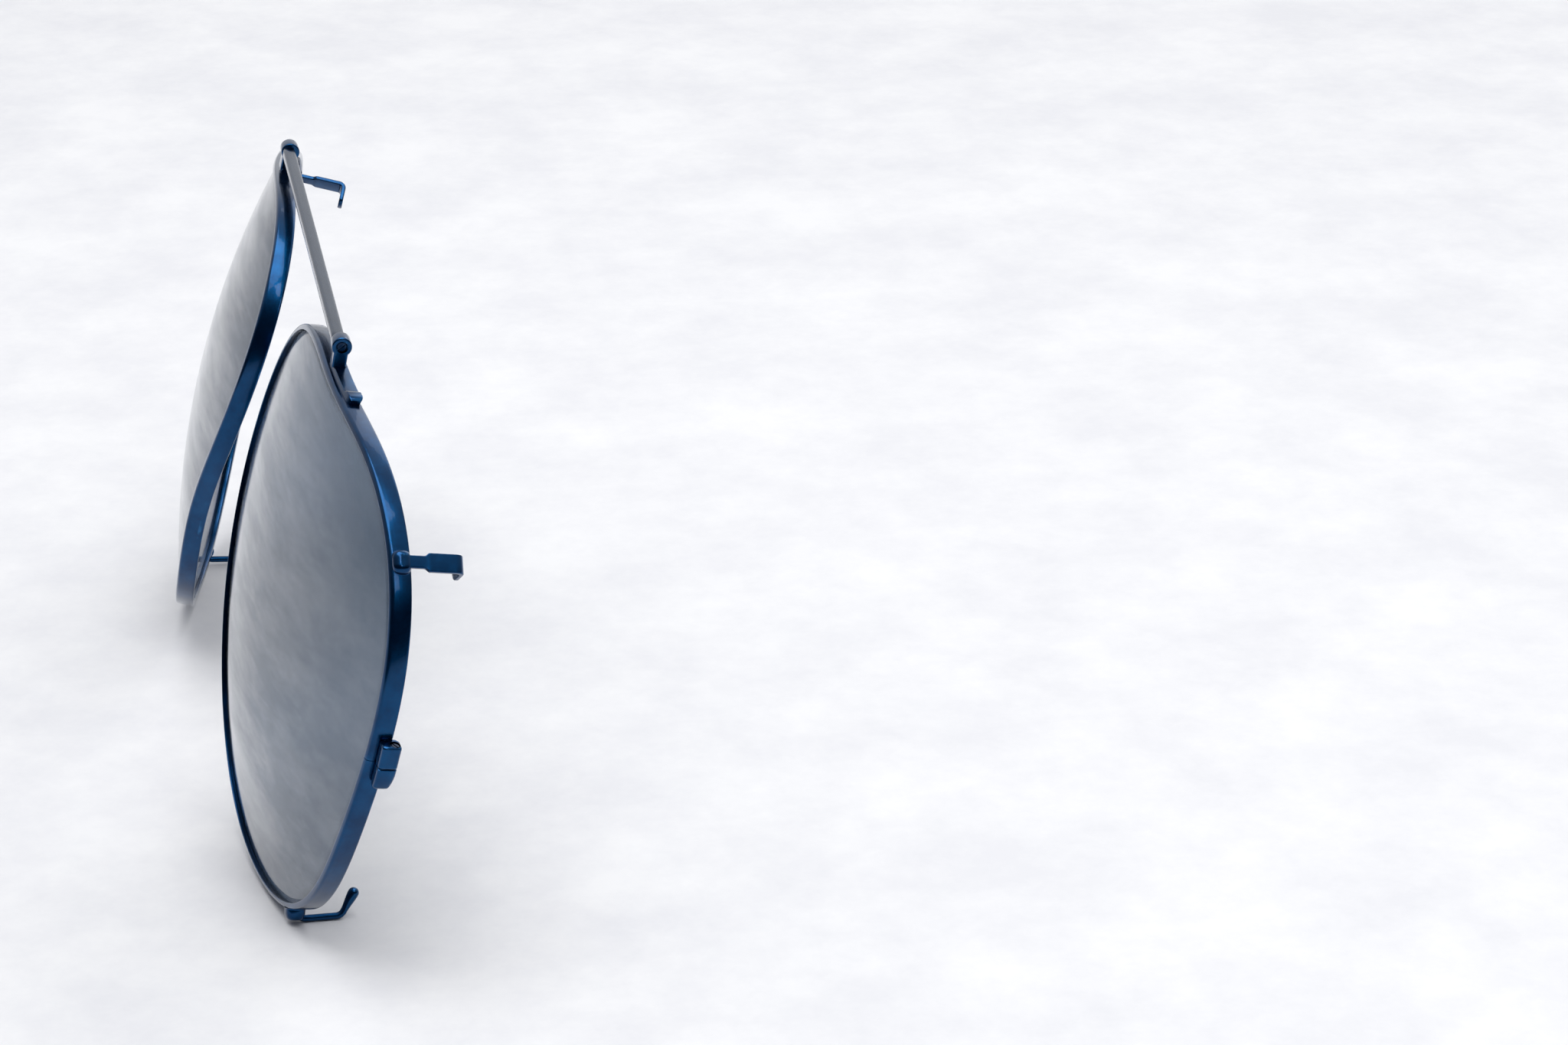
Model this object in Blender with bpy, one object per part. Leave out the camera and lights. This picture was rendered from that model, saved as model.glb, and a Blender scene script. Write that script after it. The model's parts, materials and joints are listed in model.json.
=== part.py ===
"""Clip-on flip lenses: two smoke-tinted aviator lenses hinged on one straight brow bar.

Each lens sits in a thin grooved rim that a closing block and its screw pull shut. Two hooks
behind each rim, a flat tab above and a bent wire below, hold the clip-on to a pair of
spectacles. Each rim hangs on the end of the brow bar by a knuckle, so either lens flips up.

Metres, +Z up, +X towards the wearer's left temple, +Y backwards, to the hooks' side. The
clip-on stands on its lower hooks, leaning back, as it does when it is put down on a table.
Lens coordinates are (across, depth, up): towards the temple, backwards, and up.
"""

import bisect
import math

import bmesh
import bpy
from mathutils import Matrix, Vector

MM = 0.001

# Overall sizes
LENS_WIDTH = 55.4 * MM
LENS_HEIGHT = 51.3 * MM
LENS_GAP = 11.7 * MM
BASE_RADIUS = 88.0 * MM
FACE_WRAP = math.radians(8.8)
LEAN_BACK = math.radians(11.1)

# The aviator shape: radii every 30 degrees, from the temple side over the top. Only their
# proportions count, because the outline is stretched to LENS_WIDTH and LENS_HEIGHT.
SHAPE_RADII = (27.5, 28.5, 25.8, 24.3, 28.2, 30.2, 24.7, 22.1, 23.5, 24.6, 26.4, 26.5)
SHAPE_ORDERS = 5

# Gaps
SEAM = 0.10 * MM
SCREW_PLAY = 0.05 * MM
HINGE_END_PLAY = 0.15 * MM

# Rim and lens
RIM_DEPTH = 1.95 * MM
RIM_WALL = 0.62 * MM
RIM_CHAMFER = 0.12 * MM
RIM_SPLIT = 0.30 * MM
GROOVE_DEPTH = 0.30 * MM
LENS_THICKNESS = 1.00 * MM
LENS_CHAMFER = 0.14 * MM

# Flip hinge and brow bar
KNUCKLE_ANGLE = math.radians(97)
KNUCKLE_LENGTH = 1.8 * MM
KNUCKLE_WALL = 0.40 * MM
KNUCKLE_POST_WIDTH = 1.35 * MM
KNUCKLE_POST_HEIGHT = 1.08 * MM
KNUCKLE_SINK = 0.20 * MM
LEAF_THICKNESS = 0.35 * MM
LEAF_WIDTH = 1.40 * MM
LEAF_INSET = 0.15 * MM
LEAF_REACH = 7.85 * MM
LEAF_STUD_LENGTH = 1.9 * MM
LEAF_STUD_HEIGHT = 0.22 * MM
PIN_AHEAD = 0.90 * MM
PIN_RADIUS = 0.30 * MM
PIN_GRIP = 2.2 * MM
PIN_HEAD_RADIUS = 0.52 * MM
PIN_HEAD_HEIGHT = 0.32 * MM
PIN_HEAD_RECESS = 0.20 * MM
KNUCKLE_RADIUS = PIN_HEAD_RADIUS + SCREW_PLAY + KNUCKLE_WALL
BAR_DEPTH = 1.30 * MM
BAR_HEIGHT = 1.00 * MM
BAR_CHAMFER = 0.14 * MM
BAR_FORWARD = 0.20 * MM
BORE_RUNOUT = 0.30 * MM

# Closing block
CLOSING_ANGLE = math.radians(-2.2)
CLOSING_LENGTH = 4.8 * MM
CLOSING_WALL = 0.125 * MM
CLOSING_AHEAD = 1.20 * MM
CLOSING_BEHIND = 0.65 * MM
CLOSING_CHAMFER = 0.32 * MM
CLOSING_SCREW_RADIUS = 0.30 * MM
CLOSING_HEAD_RADIUS = 0.45 * MM
CLOSING_HEAD_HEIGHT = 0.30 * MM
CLOSING_SCREW_BEHIND = 0.05 * MM
CLOSING_THICKNESS = 2 * (CLOSING_HEAD_RADIUS + SCREW_PLAY + CLOSING_WALL)

# Upper hook: a flat tab on a domed root
UPPER_HOOK_ANGLE = math.radians(35)
UPPER_ROOT_LENGTH = 2.3 * MM
UPPER_ROOT_HEIGHT = 0.60 * MM
TAB_THICKNESS = 0.45 * MM
TAB_NECK_WIDTH = 1.2 * MM
TAB_NECK_LENGTH = 1.1 * MM
TAB_WIDTH = 1.8 * MM
TAB_REACH = 4.9 * MM
TAB_LIP = 2.2 * MM
TAB_BEND_RADIUS = 0.35 * MM

# Lower hook: a bent wire in a block under the rim
LOWER_HOOK_ANGLE = math.radians(-64)
LOWER_ROOT_LENGTH = 2.0 * MM
LOWER_ROOT_HEIGHT = 1.00 * MM
WIRE_RADIUS = 0.35 * MM
WIRE_DROP = 0.18 * MM
WIRE_RUN = 2.9 * MM
WIRE_BEND_RADIUS = 0.9 * MM
WIRE_BEND = math.radians(58)
WIRE_RISE = 1.4 * MM
WIRE_TIP_RADIUS = 0.55 * MM
WIRE_TIP_END = math.radians(167)

# Solder pads that the hooks stand in. The crown is how far a pad's edges draw in at its top,
# and the profile gives shares of the height and of the crown.
UPPER_ROOT_CROWN = 0.35 * MM
LOWER_ROOT_CROWN = 0.20 * MM
PAD_PROFILE = ((0.0, 0.0), (0.45, 0.12), (0.8, 0.5), (1.0, 1.0))
PAD_CORNER_SHARE = 0.45

# Facets
OUTLINE_STEPS = 720
RIM_STATIONS = 81
LENS_STATIONS = 80
LENS_RINGS = 4
LEAF_STATIONS = 3
ROUND_SIDES = 16
WIRE_SIDES = 12
TAB_BEND_STEPS = 5
WIRE_BEND_STEPS = 6
WIRE_TIP_STEPS = 6
SHARP_ANGLE = math.radians(35)

# Finishes: colour, metallic and roughness
METAL = ((0.012, 0.085, 0.235, 1.0), 0.9, 0.28)
SCREW_METAL = ((0.008, 0.035, 0.110, 1.0), 0.9, 0.35)
LENS_LOOK = ((0.150, 0.172, 0.200, 1.0), 0.0, 0.06)

SIDES = ((1, "left_"), (-1, "right_"))

# How far each lens rests swung forward on its hinge: the right one was left a little open
REST_SWING = {1: 0.0, -1: math.radians(3.2)}


# Outline of the rims

def shape_radius(angle):
    """The curve through SHAPE_RADII, as a short Fourier series."""
    count = len(SHAPE_RADII)
    radius = sum(SHAPE_RADII) / count
    for order in range(1, SHAPE_ORDERS + 1):
        for step, traced in enumerate(SHAPE_RADII):
            turn = order * (angle - math.tau * step / count)
            radius += 2 / count * traced * math.cos(turn)
    return radius


def make_outline():
    """Outer edge of a rim as (angle, across, up), in a box of the lens's width and height."""
    angles = [math.tau * step / OUTLINE_STEPS for step in range(OUTLINE_STEPS)]
    across = [shape_radius(angle) * math.cos(angle) for angle in angles]
    up = [shape_radius(angle) * math.sin(angle) for angle in angles]
    wide = LENS_WIDTH / (max(across) - min(across))
    high = LENS_HEIGHT / (max(up) - min(up))
    return [
        (angle, wide * (x - (max(across) + min(across)) / 2), high * (z - (max(up) + min(up)) / 2))
        for angle, x, z in zip(angles, across, up)
    ]


OUTLINE = make_outline()


def make_lengths():
    """Distance along the outline from its first point to each point, and all round."""
    lengths = [0.0]
    for here, there in zip(OUTLINE, OUTLINE[1:] + OUTLINE[:1]):
        lengths.append(lengths[-1] + math.hypot(there[1] - here[1], there[2] - here[2]))
    return lengths


LENGTHS = make_lengths()


def length_at(angle):
    """Distance along the outline to an angle of the shape."""
    return LENGTHS[round(angle / math.tau * OUTLINE_STEPS) % OUTLINE_STEPS]


def outline_at(length):
    """Point on the outline, as a 2-D vector, at a distance along it."""
    length %= LENGTHS[-1]
    step = min(bisect.bisect_right(LENGTHS, length), OUTLINE_STEPS) - 1
    here = Vector(OUTLINE[step][1:])
    there = Vector(OUTLINE[(step + 1) % OUTLINE_STEPS][1:])
    share = (length - LENGTHS[step]) / (LENGTHS[step + 1] - LENGTHS[step])
    return here.lerp(there, share)


def outward_at(length):
    """Unit normal of the outline, pointing out of the lens."""
    probe = LENGTHS[-1] / OUTLINE_STEPS
    along = outline_at(length + probe) - outline_at(length - probe)
    return Vector((along.y, -along.x)).normalized()


# From lens coordinates to the clip's own upright frame

NASAL_REACH = -min(across for _, across, _ in OUTLINE)


def dome(across, up):
    """How far the spherical lens surface has fallen back from its middle."""
    return BASE_RADIUS - math.sqrt(BASE_RADIUS**2 - across**2 - up**2)


def from_lens(side, across, depth, up):
    """Clip position of a point in lens coordinates; side is 1 for the left lens, -1 for the right."""
    x = LENS_GAP / 2 + NASAL_REACH + across * math.cos(FACE_WRAP) - depth * math.sin(FACE_WRAP)
    y = across * math.sin(FACE_WRAP) + depth * math.cos(FACE_WRAP)
    return Vector((side * x, y, up))


def on_dome(side, point, depth):
    """Clip position at a depth behind the domed lens surface."""
    return from_lens(side, point.x, depth + dome(point.x, point.y), point.y)


class Seat:
    """A straight-edged frame on the rim's outer face, for the pieces that are soldered to it.

    Positions in it are (along the rim, outwards from its outer face, depth from its front)."""

    def __init__(self, side, angle):
        self.side = side
        self.length = length_at(angle)
        self.base = outline_at(self.length)
        self.outward = outward_at(self.length)
        self.along = Vector((-self.outward.y, self.outward.x))
        self.fall = dome(self.base.x, self.base.y)

    def at(self, along, outwards, depth):
        """Clip position of a point in the seat's frame."""
        point = self.base + self.along * along + self.outward * outwards
        return from_lens(self.side, point.x, self.fall + depth, point.y)

    def along_direction(self):
        """Unit vector along the rim, in the clip's frame."""
        return (self.at(1, 0, 0) - self.at(0, 0, 0)).normalized()

    def out_direction(self):
        """Unit vector out of the rim, in the clip's frame."""
        return (self.at(0, 1, 0) - self.at(0, 0, 0)).normalized()


# Solids

def loft(rings):
    """A solid through rings of points, with a flat cap on each end."""
    shape = bmesh.new()
    loops = [[shape.verts.new(point) for point in ring] for ring in rings]
    for front, back in zip(loops, loops[1:]):
        for i, corner in enumerate(front):
            j = (i + 1) % len(front)
            shape.faces.new((corner, front[j], back[j], back[i]))
    shape.faces.new(loops[0][::-1])
    shape.faces.new(loops[-1])
    bmesh.ops.recalc_face_normals(shape, faces=shape.faces)
    return shape


def ring_round(centre, first, second, radius, sides):
    """Points of a circle in the plane of two unit vectors."""
    turns = [math.tau * i / sides for i in range(sides)]
    return [centre + (first * math.cos(t) + second * math.sin(t)) * radius for t in turns]


def turned(start, direction, profile, sides=ROUND_SIDES):
    """A turned solid: profile is a list of (distance along the axis, radius)."""
    first = direction.orthogonal().normalized()
    second = direction.cross(first)
    return loft([
        ring_round(start + direction * distance, first, second, radius, sides)
        for distance, radius in profile
    ])


def chamfered(low_a, high_a, low_b, high_b, chamfer):
    """Corners of a rectangle with cut corners, as (a, b) pairs in order."""
    return [
        (low_a + chamfer, low_b), (high_a - chamfer, low_b),
        (high_a, low_b + chamfer), (high_a, high_b - chamfer),
        (high_a - chamfer, high_b), (low_a + chamfer, high_b),
        (low_a, high_b - chamfer), (low_a, low_b + chamfer),
    ]


def material_for(name, colour, metallic, roughness):
    """A plain Principled material of a sub-part's own."""
    material = bpy.data.materials.new(name + "_finish")
    material.use_nodes = True
    shader = material.node_tree.nodes["Principled BSDF"]
    shader.inputs["Base Color"].default_value = colour
    shader.inputs["Metallic"].default_value = metallic
    shader.inputs["Roughness"].default_value = roughness
    material.diffuse_color = colour
    return material


def add_part(name, shape, parent, look):
    """Make one sub-part from a solid in the clip's frame, with its origin at its parent."""
    shape.transform(Matrix.Translation(-parent.location))
    mesh = bpy.data.meshes.new(name)
    shape.to_mesh(mesh)
    shape.free()
    mesh.shade_smooth()
    mesh.set_sharp_from_angle(angle=SHARP_ANGLE)
    mesh.materials.append(material_for(name, *look))
    part = bpy.data.objects.new(name, mesh)
    part.parent = parent
    bpy.context.collection.objects.link(part)
    return part


def cut(part, name, shape, operation="DIFFERENCE"):
    """Cut a hidden solid out of a part, or join it to the part."""
    tool = add_part(name, shape, part.parent, METAL)
    tool.hide_render = True
    tool.hide_set(True)
    tool.display_type = "WIRE"
    modifier = part.modifiers.new(name, "BOOLEAN")
    modifier.operation = operation
    modifier.object = tool
    return tool


def add_empty(name, parent, location):
    """An empty that carries a body, with its origin where the body turns."""
    empty = bpy.data.objects.new(name, None)
    empty.parent = parent
    empty.location = location
    bpy.context.collection.objects.link(empty)
    return empty


# Rim and lens

GROOVE_MARGIN = (RIM_DEPTH - LENS_THICKNESS) / 2


def rim_solid(side):
    """The rim: a grooved ribbon round the lens, open at the closing block."""
    groove_low = GROOVE_MARGIN - SEAM
    groove_high = RIM_DEPTH - GROOVE_MARGIN + SEAM
    floor = -RIM_WALL + GROOVE_DEPTH
    section = [
        (-RIM_CHAMFER, 0.0), (0.0, RIM_CHAMFER),
        (0.0, RIM_DEPTH - RIM_CHAMFER), (-RIM_CHAMFER, RIM_DEPTH),
        (-RIM_WALL + RIM_CHAMFER, RIM_DEPTH), (-RIM_WALL, RIM_DEPTH - RIM_CHAMFER),
        (-RIM_WALL, groove_high), (floor, groove_high),
        (floor, groove_low), (-RIM_WALL, groove_low),
        (-RIM_WALL, RIM_CHAMFER), (-RIM_WALL + RIM_CHAMFER, 0.0),
    ]
    start = length_at(CLOSING_ANGLE) + RIM_SPLIT / 2
    span = LENGTHS[-1] - RIM_SPLIT
    rings = []
    for station in range(RIM_STATIONS):
        length = start + span * station / (RIM_STATIONS - 1)
        point = outline_at(length)
        outward = outward_at(length)
        rings.append([on_dome(side, point + outward * out, depth) for out, depth in section])
    return loft(rings)


def lens_solid(side):
    """The lens: a domed sheet whose edge stands in the rim's groove."""
    edge = -RIM_WALL + GROOVE_DEPTH - SEAM
    front = GROOVE_MARGIN
    back = GROOVE_MARGIN + LENS_THICKNESS
    loops = [((ring + 1) / LENS_RINGS, edge - LENS_CHAMFER, front) for ring in range(LENS_RINGS)]
    loops += [(1.0, edge, front + LENS_CHAMFER), (1.0, edge, back - LENS_CHAMFER)]
    loops += [
        ((LENS_RINGS - ring) / LENS_RINGS, edge - LENS_CHAMFER, back) for ring in range(LENS_RINGS)
    ]
    shape = bmesh.new()
    rings = []
    for share, offset, depth in loops:
        ring = []
        for station in range(LENS_STATIONS):
            length = LENGTHS[-1] * station / LENS_STATIONS
            point = outline_at(length) + outward_at(length) * offset
            ring.append(shape.verts.new(on_dome(side, point * share, depth)))
        rings.append(ring)
    for inner, outer in zip(rings, rings[1:]):
        for i, corner in enumerate(inner):
            j = (i + 1) % LENS_STATIONS
            shape.faces.new((corner, inner[j], outer[j], outer[i]))
    middle = Vector((0.0, 0.0))
    for ring, depth in ((rings[0], front), (rings[-1], back)):
        centre = shape.verts.new(on_dome(side, middle, depth))
        for i, corner in enumerate(ring):
            shape.faces.new((corner, ring[(i + 1) % LENS_STATIONS], centre))
    bmesh.ops.recalc_face_normals(shape, faces=shape.faces)
    return shape


# Flip hinge and brow bar

def hinge_centre(side):
    """Middle of a knuckle's bore, above the rim's top edge."""
    seat = Seat(side, KNUCKLE_ANGLE)
    rise = SEAM + LEAF_THICKNESS - KNUCKLE_SINK + KNUCKLE_POST_HEIGHT + KNUCKLE_RADIUS
    return seat.at(0, rise, RIM_DEPTH - PIN_AHEAD)


def leaf_solid(side):
    """The leaf: a strip along the rim's top that ends in a low stud on the temple side."""
    seat = Seat(side, KNUCKLE_ANGLE)
    low = RIM_DEPTH - LEAF_INSET - LEAF_WIDTH
    high = RIM_DEPTH - LEAF_INSET
    step = LEAF_THICKNESS / 2
    stud_start = LEAF_REACH - LEAF_STUD_LENGTH
    stations = [(-KNUCKLE_LENGTH / 2, 0.0), (KNUCKLE_LENGTH / 2, 0.0)]
    plain = (stud_start - KNUCKLE_LENGTH / 2) / LEAF_STATIONS
    stations += [(KNUCKLE_LENGTH / 2 + plain * i, 0.0) for i in range(1, LEAF_STATIONS)]
    stations += [(stud_start, 0.0), (stud_start + step, LEAF_STUD_HEIGHT)]
    stations += [(LEAF_REACH - step, LEAF_STUD_HEIGHT), (LEAF_REACH, 0.0)]
    rings = []
    for reach, extra in stations:
        length = seat.length - reach
        point = outline_at(length)
        outward = outward_at(length)
        section = chamfered(SEAM, SEAM + LEAF_THICKNESS + extra, low, high, LEAF_THICKNESS / 5)
        rings.append([on_dome(side, point + outward * out, depth) for out, depth in section])
    return loft(rings)


def knuckle_solid(side):
    """The knuckle: a round head along the hinge axis, on a post that stands in the leaf."""
    centre = hinge_centre(side)
    across = Vector((side, 0, 0))
    foot = -KNUCKLE_RADIUS - KNUCKLE_POST_HEIGHT
    under = math.acos(KNUCKLE_POST_WIDTH / 2 / KNUCKLE_RADIUS)
    turns = [-under + (math.pi + 2 * under) * i / ROUND_SIDES for i in range(ROUND_SIDES + 1)]
    section = [(KNUCKLE_RADIUS * math.cos(turn), KNUCKLE_RADIUS * math.sin(turn)) for turn in turns]
    section += [(-KNUCKLE_POST_WIDTH / 2, foot), (KNUCKLE_POST_WIDTH / 2, foot)]
    ends = (-KNUCKLE_LENGTH / 2, KNUCKLE_LENGTH / 2)
    return loft([[centre + across * end + Vector((0, y, z)) for y, z in section] for end in ends])


def add_hinge_leaf(side, name, parent):
    """Leaf and knuckle as one piece, bored for the screw and recessed for its head."""
    leaf = add_part(name, leaf_solid(side), parent, METAL)
    cut(leaf, name + "_knuckle", knuckle_solid(side), "UNION")
    across = Vector((side, 0, 0))
    recess = PIN_HEAD_HEIGHT + PIN_HEAD_RECESS
    bore = PIN_RADIUS + SCREW_PLAY
    wide = PIN_HEAD_RADIUS + SCREW_PLAY
    outer = KNUCKLE_LENGTH / 2
    profile = [(-outer - SEAM, bore), (outer - recess, bore)]
    profile += [(outer - recess, wide), (outer + SEAM, wide)]
    cut(leaf, name + "_bore", turned(hinge_centre(side), across, profile))


def pin_solid(side):
    """The hinge screw: its head in the knuckle's recess and its shank in the end of the bar."""
    inwards = Vector((-side, 0, 0))
    head = hinge_centre(side) - inwards * (KNUCKLE_LENGTH / 2 - PIN_HEAD_RECESS)
    shank_end = KNUCKLE_LENGTH - PIN_HEAD_RECESS + HINGE_END_PLAY + PIN_GRIP
    head_end = PIN_HEAD_HEIGHT - SCREW_PLAY
    return turned(head, inwards, [
        (0, PIN_HEAD_RADIUS), (head_end, PIN_HEAD_RADIUS),
        (head_end, PIN_RADIUS), (shank_end, PIN_RADIUS),
    ])


def add_brow_bar(name, parent):
    """The bar: one straight rectangular rod, bored at each end for a hinge screw."""
    centre = hinge_centre(1)
    end = centre.x - KNUCKLE_LENGTH / 2 - HINGE_END_PLAY
    section = chamfered(
        centre.y - BAR_FORWARD - BAR_DEPTH / 2, centre.y - BAR_FORWARD + BAR_DEPTH / 2,
        centre.z - BAR_HEIGHT / 2, centre.z + BAR_HEIGHT / 2, BAR_CHAMFER,
    )
    rod = loft([[Vector((x, y, z)) for y, z in section] for x in (-end, end)])
    bar = add_part(name, rod, parent, METAL)
    for side, prefix in SIDES:
        start = Vector((side * (end + SEAM), centre.y, centre.z))
        depth = SEAM + PIN_GRIP + BORE_RUNOUT
        profile = [(0, PIN_RADIUS + SCREW_PLAY), (depth, PIN_RADIUS + SCREW_PLAY)]
        cut(bar, prefix + "bar_bore", turned(start, Vector((-side, 0, 0)), profile))


# Closing block

def closing_half_solid(side, upper):
    """One half of the closing block, beside the rim's split."""
    seat = Seat(side, CLOSING_ANGLE)
    section = chamfered(
        SEAM, SEAM + CLOSING_THICKNESS,
        RIM_DEPTH - CLOSING_AHEAD, RIM_DEPTH + CLOSING_BEHIND, CLOSING_CHAMFER,
    )
    ends = [upper * RIM_SPLIT / 2, upper * CLOSING_LENGTH / 2]
    return loft([[seat.at(end, out, depth) for out, depth in section] for end in ends])


def closing_screw_line(side, along):
    """A point on the closing screw's axis, a distance along the rim from the split."""
    depth = RIM_DEPTH + CLOSING_SCREW_BEHIND
    return Seat(side, CLOSING_ANGLE).at(along, SEAM + CLOSING_THICKNESS / 2, depth)


def closing_screw_solid(side):
    """The closing screw, from the top of its head down."""
    start = closing_screw_line(side, CLOSING_LENGTH / 2 - SEAM)
    down = -Seat(side, CLOSING_ANGLE).along_direction()
    end = CLOSING_LENGTH - 2 * SEAM
    return turned(start, down, [
        (0, CLOSING_HEAD_RADIUS), (CLOSING_HEAD_HEIGHT, CLOSING_HEAD_RADIUS),
        (CLOSING_HEAD_HEIGHT, CLOSING_SCREW_RADIUS), (end, CLOSING_SCREW_RADIUS),
    ])


def closing_hole_solid(side):
    """The stepped hole for the closing screw, right through both halves of the block."""
    start = closing_screw_line(side, CLOSING_LENGTH / 2 + SEAM)
    down = -Seat(side, CLOSING_ANGLE).along_direction()
    wide = CLOSING_HEAD_RADIUS + SCREW_PLAY
    bore = CLOSING_SCREW_RADIUS + SCREW_PLAY
    step = 2 * SEAM + CLOSING_HEAD_HEIGHT + SCREW_PLAY
    end = CLOSING_LENGTH + 2 * SEAM
    return turned(start, down, [(0, wide), (step, wide), (step, bore), (end, bore)])


def add_closing_block(side, prefix, parent):
    """Two halves and the screw through them."""
    for upper, end_name in ((1, "upper"), (-1, "lower")):
        name = f"{prefix}closing_block_{end_name}"
        half = add_part(name, closing_half_solid(side, upper), parent, METAL)
        cut(half, name + "_hole", closing_hole_solid(side))
    add_part(prefix + "closing_screw", closing_screw_solid(side), parent, SCREW_METAL)


# Hooks

def pad_solid(seat, size, depths, crown):
    """A solder pad on the rim's outer face, between two depths."""
    length, height = size
    middle = (depths[0] + depths[1]) / 2
    half_depth = (depths[1] - depths[0]) / 2
    rings = []
    for rise, drawn_in in PAD_PROFILE:
        half_a = length / 2 - crown * drawn_in
        half_b = half_depth - crown * drawn_in
        corner = min(half_a, half_b) * PAD_CORNER_SHARE
        section = chamfered(-half_a, half_a, middle - half_b, middle + half_b, corner)
        rings.append([seat.at(a, SEAM + height * rise, b) for a, b in section])
    return loft(rings)


def tab_solid(side):
    """The upper hook: a flat tab that narrows to a neck at its root and turns down in a lip."""
    seat = Seat(side, UPPER_HOOK_ANGLE)
    bend = TAB_BEND_RADIUS + TAB_THICKNESS / 2
    level = SEAM + TAB_THICKNESS / 2
    end = RIM_DEPTH + TAB_REACH
    neck_end = RIM_DEPTH + TAB_NECK_LENGTH
    shoulder = (TAB_WIDTH - TAB_NECK_WIDTH) / 2
    stations = [
        (level, RIM_DEPTH, 0.0, TAB_NECK_WIDTH),
        (level, neck_end, 0.0, TAB_NECK_WIDTH),
        (level, neck_end + shoulder, 0.0, TAB_WIDTH),
    ]
    for step in range(TAB_BEND_STEPS + 1):
        turn = math.pi / 2 * step / TAB_BEND_STEPS
        back = end - bend - TAB_THICKNESS / 2 + bend * math.sin(turn)
        stations.append((level - bend * (1 - math.cos(turn)), back, turn, TAB_WIDTH))
    corner = TAB_THICKNESS / 2
    lip_end = SEAM - TAB_LIP
    stations.append((lip_end + corner, end - TAB_THICKNESS / 2, math.pi / 2, TAB_WIDTH))
    stations.append((lip_end, end - TAB_THICKNESS / 2, math.pi / 2, TAB_WIDTH - 2 * corner))
    rings = []
    for out, depth, turn, width in stations:
        ring = []
        for along, off in ((-1, -1), (1, -1), (1, 1), (-1, 1)):
            raised = off * TAB_THICKNESS / 2
            outwards = out + raised * math.cos(turn)
            ring.append(seat.at(along * width / 2, outwards, depth + raised * math.sin(turn)))
        rings.append(ring)
    return loft(rings)


def wire_solid(side):
    """The lower hook: a wire that runs back level with the table, then turns up to a round tip."""
    seat = Seat(side, LOWER_HOOK_ANGLE)
    start = seat.at(0, SEAM + LOWER_ROOT_HEIGHT + WIRE_DROP - WIRE_RADIUS, RIM_DEPTH + SEAM)
    level = Vector((0, math.cos(LEAN_BACK), math.sin(LEAN_BACK)))
    inward = -seat.out_direction()
    rise = (inward - level * inward.dot(level)).normalized()
    sideways = level.cross(rise)
    stations = [(start, 0.0, WIRE_RADIUS)]
    for step in range(WIRE_BEND_STEPS + 1):
        turn = WIRE_BEND * step / WIRE_BEND_STEPS
        lift = WIRE_BEND_RADIUS * (1 - math.cos(turn))
        forward = WIRE_RUN + WIRE_BEND_RADIUS * math.sin(turn)
        stations.append((start + level * forward + rise * lift, turn, WIRE_RADIUS))
    bend_end = stations[-1][0]
    direction = level * math.cos(WIRE_BEND) + rise * math.sin(WIRE_BEND)
    ball = bend_end + direction * (WIRE_RISE + WIRE_TIP_RADIUS)
    first = math.asin(WIRE_RADIUS / WIRE_TIP_RADIUS)
    for step in range(WIRE_TIP_STEPS + 1):
        turn = first + (WIRE_TIP_END - first) * step / WIRE_TIP_STEPS
        centre = ball - direction * WIRE_TIP_RADIUS * math.cos(turn)
        stations.append((centre, WIRE_BEND, WIRE_TIP_RADIUS * math.sin(turn)))
    rings = []
    for centre, turn, radius in stations:
        across_wire = rise * math.cos(turn) - level * math.sin(turn)
        rings.append(ring_round(centre, sideways, across_wire, radius, WIRE_SIDES))
    return loft(rings)


def add_hooks(side, prefix, parent):
    """Both hooks of one lens, each in its solder pad."""
    upper = Seat(side, UPPER_HOOK_ANGLE)
    upper_size = (UPPER_ROOT_LENGTH, UPPER_ROOT_HEIGHT)
    pad = pad_solid(upper, upper_size, (SEAM, RIM_DEPTH - SEAM), UPPER_ROOT_CROWN)
    add_part(prefix + "upper_hook_root", pad, parent, METAL)
    add_part(prefix + "upper_hook_tab", tab_solid(side), parent, METAL)
    lower = Seat(side, LOWER_HOOK_ANGLE)
    lower_size = (LOWER_ROOT_LENGTH, LOWER_ROOT_HEIGHT)
    pad = pad_solid(lower, lower_size, (0.0, RIM_DEPTH), LOWER_ROOT_CROWN)
    add_part(prefix + "lower_hook_root", pad, parent, METAL)
    add_part(prefix + "lower_hook_wire", wire_solid(side), parent, METAL)


# The whole clip-on

def clear_scene():
    for old in list(bpy.data.objects):
        bpy.data.objects.remove(old, do_unlink=True)


def add_lens_body(side, prefix, stand):
    """One lens with all that flips up with it."""
    hinge = add_empty(prefix + "flip_axis", stand, hinge_centre(side))
    hinge.rotation_euler.x = -REST_SWING[side]
    add_part(prefix + "rim", rim_solid(side), hinge, METAL)
    add_part(prefix + "lens", lens_solid(side), hinge, LENS_LOOK)
    add_hinge_leaf(side, prefix + "hinge_leaf", hinge)
    add_closing_block(side, prefix, hinge)
    add_hooks(side, prefix, hinge)


def put_on_table(stand):
    """Lean the clip-on back and put its lowest point, and its middle, at the origin."""
    stand.rotation_euler.x = -LEAN_BACK
    bpy.context.view_layer.update()
    corners = [
        part.matrix_world @ vertex.co
        for part in bpy.data.objects if part.type == "MESH" and not part.hide_render
        for vertex in part.data.vertices
    ]
    middle = (max(p.y for p in corners) + min(p.y for p in corners)) / 2
    stand.location = (0, -middle, -min(p.z for p in corners))


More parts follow.
